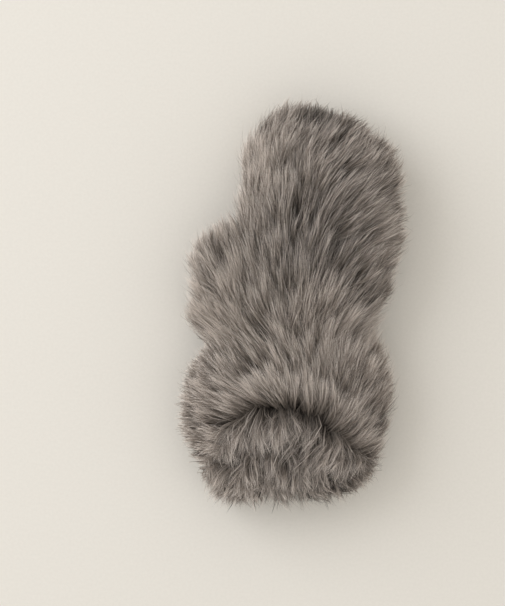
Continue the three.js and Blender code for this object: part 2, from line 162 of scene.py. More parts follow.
# The lie of the hair from above. heading: degrees from +Y towards +X. tone: how much paler, partly
# the fur's own patches and partly painted light and shade, paler on the window's side at the left and
# darker in the middle. length: share of the longest hair. sink: how much lower the hair lies than
# elsewhere.
NAP = [
    {"across": -0.28, "along": 0.88, "heading": 5, "tone": -0.02, "length": 1, "sink": 0.0040},
    {"across": 0.0, "along": 0.94, "heading": 14, "tone": -0.38, "length": 1, "sink": 0.0030},
    {"across": 0.25, "along": 0.91, "heading": 34, "tone": -0.22, "length": 1, "sink": 0.0035},
    {"across": 0.43, "along": 0.84, "heading": 48, "tone": -0.03, "length": 1, "sink": 0.0010},
    {"across": 0.48, "along": 0.69, "heading": 66, "tone": 0.10, "length": 1, "sink": 0.0005},
    {"across": 0.34, "along": 0.68, "heading": 60, "tone": 0.05, "length": 1, "sink": 0.0000},
    {"across": 0.15, "along": 0.735, "heading": 40, "tone": -0.16, "length": 1, "sink": 0.0000},
    {"across": 0.2, "along": 0.63, "heading": 52, "tone": -0.26, "length": 1, "sink": 0.0000},
    {"across": 0.02, "along": 0.62, "heading": 13, "tone": -0.46, "length": 1, "sink": 0.0000},
    {"across": 0.04, "along": 0.52, "heading": 9, "tone": -0.46, "length": 1, "sink": 0.0000},
    {"across": -0.17, "along": 0.6, "heading": -14, "tone": -0.22, "length": 1, "sink": 0.0000},
    {"across": -0.27, "along": 0.74, "heading": 5, "tone": 0.60, "length": 1, "sink": 0.0000},
    {"across": -0.305, "along": 0.632, "heading": -26, "tone": 0.30, "length": 1, "sink": 0.0000},
    {"across": -0.46, "along": 0.62, "heading": -34, "tone": 0.06, "length": 1, "sink": 0.0000},
    {"across": -0.32, "along": 0.505, "heading": -32, "tone": 0.08, "length": 1, "sink": 0.0000},
    {"across": -0.48, "along": 0.43, "heading": -37, "tone": 0.12, "length": 1, "sink": 0.0000},
    {"across": -0.42, "along": 0.36, "heading": -38, "tone": 0.46, "length": 1, "sink": 0.0000},
    {"across": -0.22, "along": 0.43, "heading": -22, "tone": 0.02, "length": 1, "sink": 0.0000},
    {"across": 0.02, "along": 0.38, "heading": 2, "tone": 0.08, "length": 1, "sink": 0.0000},
    {"across": 0.24, "along": 0.49, "heading": 36, "tone": -0.20, "length": 1, "sink": 0.0010},
    {"across": 0.41, "along": 0.4, "heading": 46, "tone": 0.00, "length": 1, "sink": 0.0050},
    {"across": -0.02, "along": 0.295, "heading": -12, "tone": 0.14, "length": 1, "sink": 0.0000},
    {"across": -0.285, "along": 0.34, "heading": -38, "tone": 0.44, "length": 1, "sink": 0.0000},
    {"across": -0.205, "along": 0.248, "heading": -58, "tone": 0.08, "length": 1, "sink": 0.0000},
    {"across": -0.5, "along": 0.26, "heading": -74, "tone": 0.58, "length": 0.7, "sink": 0.0000},
    {"across": -0.35, "along": 0.175, "heading": -84, "tone": 0.46, "length": 0.7, "sink": 0.0000},
    {"across": -0.44, "along": 0.13, "heading": -98, "tone": 0.58, "length": 0.65, "sink": -0.0010},
    {"across": -0.38, "along": 0.067, "heading": -118, "tone": 0.34, "length": 0.7, "sink": -0.0030},
    {"across": 0.14, "along": 0.24, "heading": -14, "tone": 0.00, "length": 1, "sink": 0.0000},
    {"across": 0.29, "along": 0.247, "heading": 12, "tone": 0.00, "length": 1, "sink": 0.0000},
    {"across": 0.4, "along": 0.24, "heading": 32, "tone": 0.00, "length": 1, "sink": 0.0000},
    {"across": 0.45, "along": 0.138, "heading": 62, "tone": 0.02, "length": 1, "sink": 0.0010},
]
# The cuff's tone column too is partly the fur's own and partly painted light and shade.
CUFF_NAP = [
    {"across": -0.36, "along": 0.05, "heading": 170, "tone": 0.06, "length": 1, "sink": -0.0030},
    {"across": -0.25, "along": 0.03, "heading": 155, "tone": 0.16, "length": 1, "sink": -0.0020},
    {"across": -0.27, "along": 0.14, "heading": -176, "tone": -0.02, "length": 1, "sink": 0.0000},
    {"across": 0.00, "along": 0.18, "heading": -178, "tone": -0.18, "length": 1, "sink": 0.0000},
    {"across": 0.00, "along": 0.03, "heading": -178, "tone": 0.12, "length": 1, "sink": 0.0000},
    {"across": 0.22, "along": 0.105, "heading": 186, "tone": -0.10, "length": 1, "sink": 0.0000},
    {"across": 0.27, "along": 0.02, "heading": 150, "tone": 0.10, "length": 1, "sink": 0.0010},
    {"across": 0.36, "along": 0.07, "heading": 128, "tone": -0.05, "length": 1, "sink": 0.0010},
    {"across": 0.43, "along": 0.06, "heading": 100, "tone": 0.00, "length": 1, "sink": 0.0010},
]
NAP_BLEND = 0.013

# Where the hair ends below the cuff, from above.
HEM_LINE = [
    {"across": -0.35, "along": 0.000},
    {"across": -0.05, "along": 0.002},
    {"across": 0.12, "along": 0.018},
    {"across": 0.30, "along": 0.024},
    {"across": 0.42, "along": 0.046},
]

# How the fur of hand and cuff differs. drift: how far its lie wanders. tangle: how far its locks
# turn aside. curl: how wide a strand waves. tone: how pale it is.
# gather: how far a lock draws together. relief: how much its locks differ in height and tone, the
# lower ones darker with painted shade.
HAND_COAT = {
    "nap": NAP, "drift": math.radians(8), "tangle": math.radians(6.5), "curl": 0.0004,
    "gather": 0.50, "relief": 0.85, "tone": 0.57,
}
CUFF_COAT = {
    "nap": CUFF_NAP, "drift": math.radians(14), "tangle": math.radians(17), "curl": 0.0020,
    "gather": 0.72, "relief": 1.5, "tone": 0.405,
}

# The hair. A tuft holds locks, a lock holds wisps and a wisp holds strands. Each draws together
# towards its tip.
HAIR_WIDTH = 0.00034
TUFT_SPACING = 0.0080
TUFT_RADIUS = 0.0064
HIDDEN_DEPTH = 0.006  # no tuft grows where hand or thumb lies further than this inside the other
LOCKS = 7
LOCK_RADIUS = 0.0026
WISP_RADIUS = 0.00014
WISP_STRANDS = 3
TUFT_GATHER = 0.15
WISP_GATHER = 0.7
GATHER_POWER = 1.2
LEAST_CLUMPING = 0.35
STEPS = np.array([0.10, 0.38, 0.70, 1.0])  # the shares of its way where a strand has its points
STEP_WIDTHS = np.array([0.85, 1.0, 0.70])
BLADE = np.array([[0, 1, 3], [0, 3, 2], [2, 3, 5], [2, 5, 4], [4, 5, 6]])
BLADE_CORNERS = 7
SHADES = 64
SHADE_START = 0.3  # where a strand begins within its band of the picture, and how wide it is there
SHADE_WIDTH = 0.4

# How many strands and places there are. The tries are for places, of which few are kept.
STRANDS_A_PIECE = 38000
UNDER_SHARE = 0.2
BODY_TRIES = 16000
THUMB_TRIES = 6000
UNDER_TRIES = 9000
BELOW_SHARE = 0.03  # of the tries on the underside, which is mostly left to under_hair
BODY_START = 0.005  # how far from hem or heel the first places lie
THUMB_START = 0.002
UNDER_START = 0.008
FINGERS_FROM = 0.66  # share of the length
SEAM_TUFT_SPAN = (-0.36, 0.44)
SEAM_TUFT_STEP = 0.0042
SEAM_TUFT_SCATTER = 0.0012
SEAM_TUFT_GAPS = (0.0012, 0.0034)
SEAM_REACH = 0.014

# Loose strands, of which there are more at the sides, where the form turns away from above
STRAY_SHARE = 0.12
EDGE_STRAYS = 0.16
STRAY_WIDTH = 0.55

# Lengths: of a strand, the draws for its tuft, lock and wisp and its own, and how much shorter
# it is by the cuff's seam and where it would hang out over a side
HAIR_LENGTH = 0.040
TUFT_LENGTHS = (0.9, 1.1)
LOCK_LENGTHS = (0.82, 1.10)
WISP_LENGTHS = (0.65, 1.05)
STRAND_LENGTHS = (0.85, 1.05)
SEAM_CUT = 0.35
OVERHANG_CUT = 0.6
SHORTEST = 0.006
START_POWER = 1.35  # how slowly a strand moves along at its root

# How far wisps and strands turn aside, roll, wave and keep straight
WISP_TURN = math.radians(4)
STRAND_TURN = math.radians(1.2)
STRAY_TURN = math.radians(15)
WISP_ROLL = math.radians(30)
STRAND_ROLL = math.radians(12)
WAVES = (0.2, 1.8)
WAVE_TURN = 5
PHASE_SPREAD = 0.6
STIFFNESS = (0.1, 0.55)
LEAST_FLAT = 0.3  # how level a side counts at least when the lie of its hair is laid from above

# How deep a strand's tip lies below the form, and what raises or lowers it
TIP_DEPTH = 0.0020
HILL_RISE = 0.0009
LOCK_RISE = 0.0015
WISP_RISE = 0.0013
STRAND_RISE = 0.0003
LOCK_SIDE_DROP = 0.0050
STRAY_RISES = (0.0005, 0.0050)
EDGE_DROPS = (0.0005, 0.0085)
OVERHANG_DROPS = (-0.0020, 0.0090)
HIGHEST = -0.0075
RISE_POWER = 2.6
STAND_OFF_POWER = 3
LIFT = 0.0004  # above the surface that the mitten lies on
LIFT_SPREAD = 0.0016

# The hem: how far short of its line locks end, how uneven they are, and how far wisps and loose
# strands hang past them
HEM_SHORT = 0.001
LOCK_HEM = 0.0024
WISP_HEM = 0.0040
STRAY_HEM = 0.003
LEAST_DOWN = 0.2  # how far towards the hem a strand heads at least when it is cut to length

# How much paler a strand is. Hills, locks, wisps and strands that rise higher are paler: partly the
# fur's own tone and partly painted shade on those that lie deeper.
HILL_PAINTED_SHADE = 0.05
PATCH_TONE = 0.05
LOCK_TONE_AND_PAINTED_SHADE = 0.09
WISP_TONE_AND_PAINTED_SHADE = 0.30
STRAND_TONE_AND_PAINTED_SHADE = 0.13
# Painted shade at a lock's sides, where its strands lie deeper.
LOCK_SIDE_PAINTED_SHADE = 0.22
# Painted light: loose strands are paler, as if light shone through them, most at the sides where the
# form turns away from above.
STRAY_PAINTED_LIGHT = 0.1
STRAY_EDGE_PAINTED_LIGHT = 0.3
TONE_GAIN = 1.7
TONE_LEAST = 0.15

# Ripples are sums of waves. Each has the size of its waves and the seed of its draws.
RIPPLE_WAVES = 6
RIPPLE_SIZES = (0.7, 1.6)
RIPPLE_PEAK = 2.4
LIE_RIPPLE = (0.045, 5)
HILL_RIPPLE = (0.030, 8)
PATCH_RIPPLE = (0.05, 21)

# The photograph's frame
IMAGE_SIZE = (505, 606)
PIXEL = 0.000655
VIEW_TURN = math.radians(3.6)
VIEW_MIDDLE = (-0.0290, -0.0038)
VIEW_HEIGHT = 1.25
VIEW_PLANE = 0.028  # the height at which PIXEL is measured
NEAREST = 0.05
FLOOR_SIZE = 8

# The light
ROOM_COLOUR = (1.0, 0.982, 0.95, 1)
ROOM_STRENGTH = 0.81
WINDOW_PLACE = (-1.60, 0.65, 1.00)
WINDOW_SIZE = 1.8
WINDOW_ENERGY = 22
WINDOW_COLOUR = (0.90, 0.935, 1.0)

# Painted light: the hair is paler on the side of the window, for each share that the surface turns to
# it.
WINDOW_SIDE_PAINTED_LIGHT = np.array([-0.09, 0.04, 0.0])

rng = np.random.default_rng(11)


def values(rows, name, scale=1.0, base=0.0):
    """One column of a table, scaled."""
    return np.array([base + row[name] * scale for row in rows])


def unit(vectors):
    return vectors / np.maximum(np.linalg.norm(vectors, axis=-1, keepdims=True), 1e-9)


def ripple(points, size, seed):
    """A smooth random value over the surface, about -1 to 1, in waves of a size."""
    draw = np.random.default_rng(seed)
    total = np.zeros(points.shape[:-1])
    for wave in range(RIPPLE_WAVES):
        way = unit(draw.normal(size=3)) * 2 * math.pi / (size * draw.uniform(*RIPPLE_SIZES))
        total += np.sin(points @ way + draw.uniform(0, 2 * math.pi))
    return total / RIPPLE_PEAK


class Form:
    """A soft form given by its sections over the hair, which closes to a rounded tip."""

    def __init__(self, rows, first_y, length, tip_y, lean):
        self.y = values(rows, "along", length, first_y)
        self.left = values(rows, "left", WIDTH)
        self.right = values(rows, "right", WIDTH)
        self.top = values(rows, "top", HEIGHT)
        self.tip_y = tip_y
        self.lean = lean * WIDTH

    def section(self, y, depth):
        """Middle, centre, half width and half height at y, at a depth below the hair's tips."""
        left = np.interp(y, self.y, self.left)
        right = np.interp(y, self.y, self.right)
        top = np.interp(y, self.y, self.top) - depth
        half_width = (right - left) / 2 - depth
        return (left + right) / 2, (top - PRESSED) / 2, half_width, (top + PRESSED) / 2

    def spread(self, points, depth):
        """How far out points lie, as a share of the way to the surface at a depth, and its parts."""
        last = self.y[-1]
        y = points[..., 1]
        middle, centre, half_width, half_height = self.section(np.minimum(y, last), depth)
        beyond = np.maximum(y - last, 0) / (self.tip_y - depth - last)
        aside = points[..., 0] - middle - self.lean * np.minimum(beyond, LEAN_LIMIT) ** LEAN_POWER
        above = points[..., 2] - centre
        girth = np.abs(aside / half_width) ** ROUND + np.abs(above / half_height) ** ROUND
        share = (girth ** (TIP_ROUND / ROUND) + beyond ** TIP_ROUND) ** (1 / TIP_ROUND)
        return np.maximum(share, 1e-3), middle, centre, aside, above, beyond

    def settle(self, points, depth):
        """Points moved straight out from the form's middle to lie at a depth below the tips."""
        share, middle, centre, aside, above, beyond = self.spread(points, depth)
        last = self.y[-1]
        y = points[..., 1]
        settled = np.empty_like(points)
        lean = self.lean * np.minimum(beyond / share, 1) ** LEAN_POWER
        settled[..., 0] = middle + lean + aside / share
        settled[..., 1] = np.where(beyond > 0, last + (y - last) / share, y)
        settled[..., 2] = centre + above / share
        return settled

    def holds(self, points, depth):
        """True at points that lie inside the surface at a depth."""
        return (self.spread(points, depth)[0] < 1) & (points[..., 1] > self.y[0])

    def outward(self, points, depth):
        """The surface's outward direction at points."""
        slopes = []
        for axis in range(3):
            step = np.zeros(3)
            step[axis] = SLOPE_STEP
            ahead, behind = self.spread(points + step, depth), self.spread(points - step, depth)
            slopes.append(ahead[0] - behind[0])
        return unit(np.stack(slopes, axis=-1))

    def point_at(self, y, turn, depth):
        """A point of the section at y and a depth, at a turn from +X towards +Z."""
        middle, centre, half_width, half_height = self.section(min(y, self.y[-1]), depth)
        away = np.array([math.cos(turn) * half_width, 0, math.sin(turn) * half_height])
        if y > self.y[-1]:
            away *= max(1 - (y - self.y[-1]) / (self.tip_y - depth - self.y[-1]), LEAST_SPAN)
        return self.settle(np.array([middle, y, centre]) + away, depth)


BODY = Form(BODY_ROWS, HEM_Y, LENGTH, TIP_Y, BODY_TIP_LEAN)
THUMB = Form(THUMB_ROWS, thumb_low[1], THUMB_LENGTH, thumb_high[1], THUMB_TIP_LEAN)


def seam_y(x):
    """Where the cuff's fur begins, at x."""
    return np.interp(x, values(CUFF_SEAM, "across", WIDTH), values(CUFF_SEAM, "along", LENGTH, HEM_Y))


def hem_y(x):
    """Where the hair ends below the cuff, at x."""
    return np.interp(x, values(HEM_LINE, "across", WIDTH), values(HEM_LINE, "along", LENGTH, HEM_Y))


def weights(rows, points):
    """How much each row of a table of the hair's lie counts at points."""
    across = values(rows, "across", WIDTH)
    along = values(rows, "along", LENGTH, HEM_Y)
    gap = (points[..., 0, None] - across) ** 2 + (points[..., 1, None] - along) ** 2
    share = 1 / (gap + NAP_BLEND ** 2) ** 2
    return share / share.sum(-1, keepdims=True)


def headings(rows, points):
    """The lie of the hair at points, in radians."""
    angle = np.radians(values(rows, "heading"))
    share = weights(rows, points)
    return np.arctan2(share @ np.sin(angle), share @ np.cos(angle))


# Where the tufts grow


def tuft_places(form, first_y, tries, under_share):
    """Even but irregular places over a form, with fewer on the underside, which is pressed flat."""
    kept = []
    cells = {}
    for attempt in range(tries):
        y = rng.uniform(first_y, form.tip_y)
        place = form.point_at(y, rng.uniform(0, 2 * math.pi), 0.0)
        if place[2] < 0 and rng.random() > under_share:
            continue
        cell = tuple(int(c) for c in np.floor(place / TUFT_SPACING))
        near = (
            other
            for dx in (-1, 0, 1)
            for dy in (-1, 0, 1)
            for dz in (-1, 0, 1)
            for other in cells.get((cell[0] + dx, cell[1] + dy, cell[2] + dz), ())
        )
        if all(np.sum((place - other) ** 2) > TUFT_SPACING ** 2 for other in near):
            cells.setdefault(cell, []).append(place)
            kept.append(place)
    return np.array(kept)


def lie_of(form, coat, points):
    """The outward direction, the hair's direction along the surface, and how much it overhangs.

    Seen from above, the direction follows the table on slopes too.
    """
    outward = form.outward(points, 0.0)
    angle = headings(coat["nap"], points) + coat["drift"] * ripple(points, *LIE_RIPPLE)
    ahead = np.stack([np.sin(angle), np.cos(angle)], axis=-1)
    overhang = (ahead * outward[..., :2]).sum(-1)
    flat = np.maximum(outward[..., 2:3], LEAST_FLAT)
    along = np.concatenate([ahead * flat, -overhang[..., None]], axis=-1)
    along = along - (along * outward).sum(-1, keepdims=True) * outward
    return outward, unit(along), np.maximum(overhang, 0)


def beside_seam(points):
    """How close points of the upper side lie to the cuff's seam: 1 at the seam, 0 away from it."""
    gap = np.abs(points[..., 1] - seam_y(points[..., 0]))
    return np.where(points[..., 2] > SIDE_SEAM_Z, np.clip(1 - gap / SEAM_REACH, 0, 1), 0)


def disc(shape, radius):
    """Random places in a disc, as two offsets."""
    turn = rng.uniform(0, 2 * math.pi, shape)
    reach = radius * np.sqrt(rng.uniform(0, 1, shape))
    return reach * np.cos(turn), reach * np.sin(turn)


def strands(form, neighbour, coat, places, budget):
    """Paths, side directions and shades of the strands of tufts that grow below some places."""
    tufts = len(places)
    wisps = budget // (tufts * LOCKS * WISP_STRANDS)
    outward, along, overhang = lie_of(form, coat, places)
    across = np.cross(along, outward)
    tuft = (tufts, 1, 1, 1)
    lock = (tufts, LOCKS, 1, 1)
    wisp = (tufts, LOCKS, wisps, 1)
    hair = (tufts, LOCKS, wisps, WISP_STRANDS)

    def each(amounts):
        return amounts.reshape(tuft)

    edge_share = each(1 - np.abs(outward[:, 2]))
    overhang = each(overhang)
    nap_shares = weights(coat["nap"], places)
    reach = each(nap_shares @ values(coat["nap"], "length"))
    clumping = np.clip(2 * reach - 1, LEAST_CLUMPING, 1.0)
    relief = coat["relief"] * clumping
    parting = each(beside_seam(places))
    hills = each(ripple(places, *HILL_RIPPLE))
    lock_ahead, lock_aside = disc(lock, TUFT_RADIUS)
    wisp_ahead, wisp_aside = disc(wisp, LOCK_RADIUS)
    hair_ahead, hair_aside = disc(hair, WISP_RADIUS)
    lock_high = rng.normal(0, 1, lock)
    wisp_high = rng.normal(0, 1, wisp)
    hair_high = rng.normal(0, 1, hair)
    beside = (wisp_aside / LOCK_RADIUS) ** 2
    stray = rng.random(hair) < STRAY_SHARE + EDGE_STRAYS * edge_share
    turn = (
        rng.normal(0, coat["tangle"] / 2, tuft)
        + rng.normal(0, coat["tangle"], lock)
        + rng.normal(0, WISP_TURN, wisp)
        + rng.normal(0, STRAND_TURN, hair)
    )
    turn = np.where(stray, turn + rng.normal(0, STRAY_TURN, hair), turn)
    lengths = (
        HAIR_LENGTH * rng.uniform(*TUFT_LENGTHS, tuft) * rng.uniform(*LOCK_LENGTHS, lock)
        * rng.uniform(*WISP_LENGTHS, wisp) * rng.uniform(*STRAND_LENGTHS, hair)
        * (1 - SEAM_CUT * parting) * (1 - OVERHANG_CUT * overhang) * reach
    )
    tip_depth = (
        TIP_DEPTH - HILL_RISE * hills
        - LOCK_RISE * relief * lock_high
        - WISP_RISE * wisp_high
        - STRAND_RISE * hair_high
        + LOCK_SIDE_DROP * beside
        - np.where(stray, rng.uniform(*STRAY_RISES, hair), 0)
        + edge_share * rng.uniform(*EDGE_DROPS, wisp)
        + overhang * rng.uniform(*OVERHANG_DROPS, wisp)
        + each(nap_shares @ values(coat["nap"], "sink"))
    )
    ahead_way = each(along[:, 1]) * np.cos(turn) + each(across[:, 1]) * np.sin(turn)
    hem = (
        each(hem_y(places[:, 0])) + HEM_SHORT + rng.normal(0, LOCK_HEM, lock)
        - np.abs(rng.normal(0, WISP_HEM, wisp)) - np.where(stray, STRAY_HEM, 0)
    )
    past = np.maximum(hem - (each(places[:, 1]) + lengths * ahead_way), 0)
    lengths = np.maximum(lengths - past / np.maximum(-ahead_way, LEAST_DOWN), SHORTEST)
    stiffness = rng.uniform(*STIFFNESS, wisp)
    phase = rng.uniform(0, 2 * math.pi, lock) + rng.normal(0, PHASE_SPREAD, wisp)
    wave = coat["curl"] * rng.uniform(*WAVES, wisp)

    def to_strands(vectors):
        return vectors[:, None, None, None, :]

    def points_at(t):
        lock_share = 1 - TUFT_GATHER * t
        wisp_share = 1 - coat["gather"] * clumping * t ** GATHER_POWER
        hair_share = 1 - WISP_GATHER * t
        bend = wave * np.sin(phase + WAVE_TURN * t) * t
        travel = lengths * t ** (START_POWER + parting)
        ahead = lock_ahead * lock_share + wisp_ahead * wisp_share + hair_ahead
        ahead = (ahead + travel * np.cos(turn))[..., None]
        aside = lock_aside * lock_share + wisp_aside * wisp_share + hair_aside * hair_share
        aside = (aside + travel * np.sin(turn) + bend)[..., None]
        return to_strands(places) + to_strands(along) * ahead + to_strands(across) * aside

    # A strand keeps straighter than the form beneath it, so it stands off where the form turns down.
    tip_outward = form.outward(points_at(1.0), 0.0)
    turned = np.arccos(np.clip((tip_outward * to_strands(outward)).sum(-1), -1, 1))
    stand_off = stiffness * lengths * turned / 2

    paths = np.empty(hair + (len(STEPS), 3))
    for index, t in enumerate(STEPS):
        points = points_at(t)
        depth = tip_depth + (ROOT_DEPTH - tip_depth) * (1 - t) ** RISE_POWER
        depth = np.maximum(depth - stand_off * t ** STAND_OFF_POWER, HIGHEST)
        settled = form.settle(points, depth)
        covered = neighbour.holds(settled, depth)[..., None]
        paths[..., index, :] = np.where(covered, neighbour.settle(settled, depth), settled)
    floor = LIFT + rng.uniform(0, LIFT_SPREAD, hair)[..., None]
    paths[..., 2] = np.where(paths[..., 2] < floor, floor, paths[..., 2])
    tangent = unit(np.gradient(paths, axis=-2))
    flat = unit(np.cross(tangent, outward[:, None, None, None, None, :]))
    edge = np.cross(tangent, flat)
    roll = rng.normal(0, WISP_ROLL, wisp) + rng.normal(0, STRAND_ROLL, hair)
    roll = roll[..., None, None]
    sides = flat * np.cos(roll) + edge * np.sin(roll)
    sides *= np.where(stray, STRAY_WIDTH, 1.0)[..., None, None]
    # The shade holds painted light: paler where the surface turns to the window, and on loose strands,
    # most at the sides. It holds painted shade: darker in the valleys between hills, on deeper locks,
    # wisps and strands, and at a lock's sides. The table's tones are partly painted light and shade;
    # the patches are the fur's own.
    shade = (
        coat["tone"]
        + each(nap_shares @ values(coat["nap"], "tone"))
        + each(outward @ WINDOW_SIDE_PAINTED_LIGHT)
        + each(PATCH_TONE * ripple(places, *PATCH_RIPPLE))
        + HILL_PAINTED_SHADE * hills
        + LOCK_TONE_AND_PAINTED_SHADE * relief * lock_high
        + WISP_TONE_AND_PAINTED_SHADE * wisp_high
        + STRAND_TONE_AND_PAINTED_SHADE * hair_high
        - LOCK_SIDE_PAINTED_SHADE * beside
        + np.where(stray, STRAY_PAINTED_LIGHT + STRAY_EDGE_PAINTED_LIGHT * edge_share, 0)
    )
    count = tufts * LOCKS * wisps * WISP_STRANDS
    shade = np.clip(shade, 0, 1).reshape(count)
    return paths.reshape(count, -1, 3), sides.reshape(count, -1, 3), shade


def hair_piece(name, material, grown):
    """One mesh of all the strands in it: each is a thin blade of three parts with a pointed tip."""
    paths, sides, shade = grown
    count = len(paths)
    half = sides[:, :3] * (STEP_WIDTHS[None, :, None] * HAIR_WIDTH / 2)
    corners = np.empty((count, BLADE_CORNERS, 3), np.float32)
    corners[:, 0:6:2] = paths[:, :3] - half
    corners[:, 1:6:2] = paths[:, :3] + half
    corners[:, 6] = paths[:, 3]
    faces = (np.arange(count)[:, None, None] * BLADE_CORNERS + BLADE).reshape(-1)
    triangles = count * len(BLADE)
    mesh = bpy.data.meshes.new(name)
    mesh.vertices.add(count * BLADE_CORNERS)
    mesh.vertices.foreach_set("co", corners.reshape(-1))
    mesh.loops.add(len(faces))
    mesh.loops.foreach_set("vertex_index", faces.astype(np.int32))
    mesh.polygons.add(triangles)
    mesh.polygons.foreach_set("loop_start", np.arange(0, len(faces), 3, dtype=np.int32))
    mesh.polygons.foreach_set("use_smooth", np.ones(triangles, bool))
    mesh.update(calc_edges=True)
    along = np.repeat(np.append(np.repeat(STEPS[:3], 2), STEPS[3])[None, :], count, axis=0)
    band = (np.floor(shade * (SHADES - 1)) + SHADE_START)[:, None] / SHADES
    beside = np.array([0, 1, 0, 1, 0, 1, 0.5]) * SHADE_WIDTH / SHADES
    corner_uv = np.stack([along, band + beside], axis=-1).reshape(-1, 2)
    layer = mesh.uv_layers.new(name="OFBake")
    layer.data.foreach_set("uv", corner_uv[faces].astype(np.float32).reshape(-1))
    mesh.materials.append(material)
    piece = bpy.data.objects.new(name, mesh)
    bpy.context.scene.collection.objects.link(piece)
    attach(piece, "root")
    return piece


# The shader's own sums, written as expressions


class Value:
    """A socket of a material's nodes, on which sums can be written."""

    def __init__(self, nodes, socket):
        self.nodes = nodes
        self.socket = socket

    def with_other(self, operation, first, second):
        return self.nodes.add("ShaderNodeMath", {"operation": operation}, {0: first, 1: second})

    def __add__(self, other):
        return self.with_other("ADD", self, other)

    def __sub__(self, other):
        return self.with_other("SUBTRACT", self, other)

    def __rsub__(self, other):
        return self.with_other("SUBTRACT", other, self)

    def __mul__(self, other):
        return self.with_other("MULTIPLY", self, other)

    __radd__ = __add__
    __rmul__ = __mul__


class Nodes:
    """A material's nodes, with its surface shader and its output in place."""

    def __init__(self, name):
        self.material = bpy.data.materials.new(name)
        self.material.use_nodes = True
        self.tree = self.material.node_tree
        self.surface = self.tree.nodes["Principled BSDF"]

    def put(self, socket, value):
        if isinstance(value, Value):
            self.tree.links.new(value.socket, socket)
        else:
            socket.default_value = value

    def add(self, kind, settings, sockets, output=0):
        """A node of a kind: its settings first, then the values or links of its sockets."""
        node = self.tree.nodes.new(kind)
        for name, value in settings.items():
            if name == "stops":
                for place, colour in value[1:-1]:
                    node.color_ramp.elements.new(place)
                for element, (place, colour) in zip(node.color_ramp.elements, value):
                    element.position = place
                    element.color = colour
            else:
                setattr(node, name, value)
        for name, value in sockets.items():
            self.put(node.inputs[name], value)
        return Value(self, node.outputs[output])

    def finish(self, sockets):
        for name, value in sockets.items():
            self.put(self.surface.inputs[name], value)
        return self.material


def linear(red, green, blue):
    """A screen colour, 0 to 255, as the shader's own."""
    parts = [part / 255 for part in (red, green, blue)]
    return (*[p / 12.92 if p < 0.04045 else ((p + 0.055) / 1.055) ** 2.4 for p in parts], 1.0)


def hair_finish(name, root, middle, tip):
    """Fur whose strands are dark at the root and pale at the tip, each in a tone of its own.

    The pale tips are the fur's own; the dark roots are partly its own and partly painted shade deep in
    the coat, and each strand's tone holds painted light and shade as well.
    """
    nodes = Nodes(name)
    place = nodes.add("ShaderNodeUVMap", {"uv_map": "OFBake"}, {})
    along = nodes.add("ShaderNodeSeparateXYZ", {}, {0: place})
    tone = nodes.add("ShaderNodeSeparateXYZ", {}, {0: place}, 1)
    stops = [(0.22, linear(*root)), (0.66, linear(*middle)), (0.98, linear(*tip))]
    colour = nodes.add("ShaderNodeValToRGB", {"stops": stops}, {0: along})
    strength = tone * TONE_GAIN + TONE_LEAST
    grey = nodes.add("ShaderNodeCombineXYZ", {}, {0: strength, 1: strength, 2: strength})
    toned = nodes.add("ShaderNodeVectorMath", {"operation": "MULTIPLY"}, {0: colour, 1: grey})
    return nodes.finish({
        "Base Color": toned,
        "Roughness": 0.62 - tone * 0.12,
        "Specular IOR Level": 0.25,
    })


def underfur_finish():
    """The short dense wool between the roots."""
    nodes = Nodes("underfur")
    place = nodes.add("ShaderNodeTexCoord", {}, {}, "Object")
    wool = nodes.add("ShaderNodeTexNoise", {}, {"Vector": place, "Scale": 900.0, "Detail": 3.0})
    patches = nodes.add("ShaderNodeTexNoise", {}, {"Vector": place, "Scale": 70.0, "Detail": 2.0})
    stops = [(0.3, linear(58, 51, 45)), (0.75, linear(96, 86, 77))]
    colour = nodes.add("ShaderNodeValToRGB", {"stops": stops}, {0: wool * 0.6 + patches * 0.4})
    bump = nodes.add("ShaderNodeBump", {}, {"Height": wool, "Strength": 0.8, "Distance": 0.001})
    return nodes.finish({"Base Color": colour, "Roughness": 0.9, "Normal": bump})


def suede_finish():
    """The bare inner side of the pelt."""
    nodes = Nodes("pelt_suede")
    place = nodes.add("ShaderNodeTexCoord", {}, {}, "Object")
    nap = nodes.add("ShaderNodeTexNoise", {}, {"Vector": place, "Scale": 1400.0, "Detail": 4.0})
    wrinkle = nodes.add("ShaderNodeTexNoise", {}, {"Vector": place, "Scale": 120.0, "Detail": 3.0})
    stops = [(0.25, linear(138, 122, 106)), (0.8, linear(168, 152, 134))]
    colour = nodes.add("ShaderNodeValToRGB", {"stops": stops}, {0: nap * 0.4 + wrinkle * 0.6})
    bump = nodes.add(
        "ShaderNodeBump", {}, {"Height": nap * 0.3 + wrinkle, "Strength": 0.5, "Distance": 0.0008}
    )
    return nodes.finish({"Base Color": colour, "Roughness": 0.95, "Normal": bump})


def floor_finish():
    """Plain pale paper."""
    nodes = Nodes("pale_paper")
    place = nodes.add("ShaderNodeTexCoord", {}, {}, "Object")
    grain = nodes.add("ShaderNodeTexNoise", {}, {"Vector": place, "Scale": 500.0, "Detail": 2.0})
    stops = [(0.3, linear(228, 223, 214)), (0.7, linear(231, 226, 217))]
    colour = nodes.add("ShaderNodeValToRGB", {"stops": stops}, {0: grain})
    return nodes.finish({"Base Color": colour, "Roughness": 0.95, "Specular IOR Level": 0.1})


# The camera, the floor and the light


def look_down():
    """The photograph's view: from straight above, a little turned."""
    camera = bpy.data.objects.new("camera", bpy.data.cameras.new("camera"))
    bpy.context.scene.collection.objects.link(camera)
    camera.location = (*VIEW_MIDDLE, VIEW_PLANE + VIEW_HEIGHT)
    camera.rotation_euler = (0, 0, VIEW_TURN)
    camera.data.sensor_fit = "HORIZONTAL"
    camera.data.lens = camera.data.sensor_width * VIEW_HEIGHT / (IMAGE_SIZE[0] * PIXEL)
    camera.data.clip_start = NEAREST
    bpy.context.scene.camera = camera


